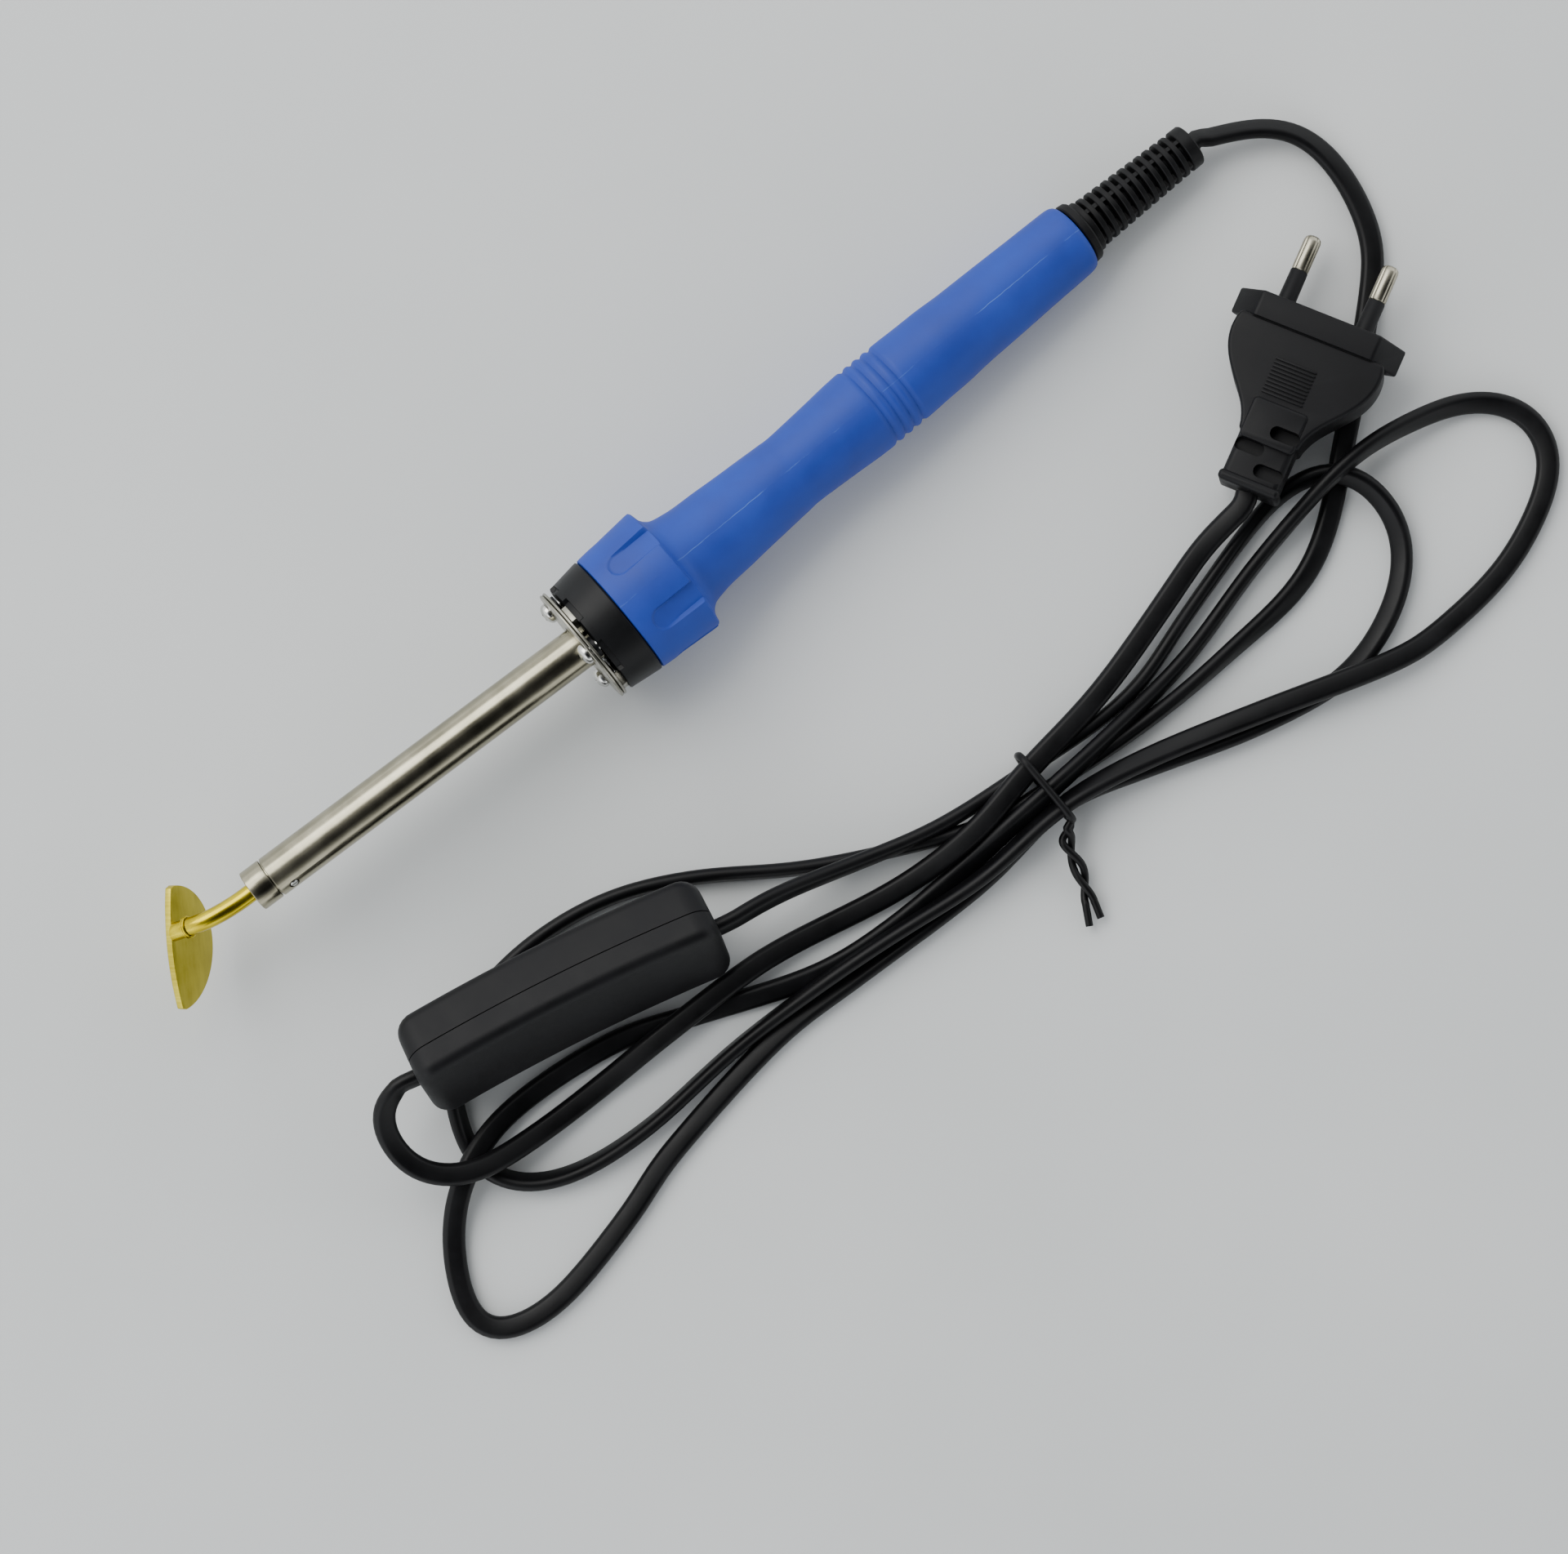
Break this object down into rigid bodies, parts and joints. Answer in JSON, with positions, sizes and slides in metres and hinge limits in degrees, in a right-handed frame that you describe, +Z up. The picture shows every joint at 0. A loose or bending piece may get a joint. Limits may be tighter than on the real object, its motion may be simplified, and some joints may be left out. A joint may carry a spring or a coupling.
{
  "type": "electric leather edge creaser",
  "caption": "Heated leather creasing tool: brass half-moon blade on a bent shank, steel heater barrel, moulded handle, corded in-line rocker switch and two-pin plug.",
  "frame": {"origin": "on the surface the tool lies on, under the middle of the tool's own box (blade to cord boot, cord parts left out)", "axes": "+X along the tool from the blade to the cord boot, +Z up, +Y away from the coiled cord"},
  "size_m": [0.3204, 0.1404, 0.0341],
  "materials": {
    "black_plastic": "satin",
    "black_rubber": "matte",
    "blue_plastic": "matte",
    "steel": "satin",
    "brass": "polished",
    "copper": "satin",
    "ceramic": "matte",
    "mica": "matte"
  },
  "bodies": {
    "creaser": {"barrel_tube": "steel", "boot": "black_rubber", "collar": "black_plastic", "cord_clamp": "steel", "cord_plug_side": "black_rubber", "cord_tool_side": "black_rubber", "flange_plate_front": "steel", "flange_plate_rear": "steel", "flange_screw_1": "steel", "flange_screw_2": "steel", "flange_screw_3": "steel", "handle": "blue_plastic", "heater_core": "ceramic", "heater_lead_a": "copper", "heater_lead_b": "copper", "heater_winding": "steel", "inner_cord": "black_rubber", "mica_sleeve": "mica", "pin_sleeve_left": "black_plastic", "pin_sleeve_right": "black_plastic", "plug_body": "black_plastic", "plug_pin_left": "steel", "plug_pin_right": "steel", "rocker_pin": "steel", "spacer_washer_1": "black_plastic", "spacer_washer_2": "black_plastic", "spacer_washer_3": "black_plastic", "switch_bottom_shell": "black_plastic", "switch_bridge": "brass", "switch_contact_left": "brass", "switch_contact_right": "brass", "switch_cord_anchor_left": "black_plastic", "switch_cord_anchor_right": "black_plastic", "switch_top_shell": "black_plastic", "terminal_block": "ceramic", "terminal_screw_a": "brass", "terminal_screw_b": "brass", "tie_loop": "black_rubber", "tie_tail_1": "black_rubber", "tie_tail_2": "black_rubber"},
    "bush": {"end_bush": "steel"},
    "bit": {"shank_rod": "brass", "creasing_blade": "brass", "braze_ring": "brass"},
    "set_screw": {"set_screw": "brass"},
    "rocker": {"rocker": "black_plastic"}
  },
  "joints": [
    {"name": "rocker_hinge", "type": "hinge", "parent": "creaser", "child": "rocker", "pos_m": [-0.08086, -0.05371, 0.01525], "axis": [0.1697, 0.406, 0.898], "range_deg": [0, 22]},
    {"name": "bush_slide", "type": "slide", "parent": "creaser", "child": "bush", "axis": [-0.9966, 0.0523, 0.0631], "range_m": [0, 0.02]},
    {"name": "bit_turn", "type": "hinge", "parent": "bush", "child": "bit", "pos_m": [-0.11381, 0.00343, 0.02316], "axis": [-0.9966, 0.0523, 0.0631], "range_deg": [-180, 180]},
    {"name": "set_screw_slide", "type": "slide", "parent": "creaser", "child": "set_screw", "axis": [-0.0137, -0.8648, 0.5019], "range_m": [0, 0.0008]}
  ]
}
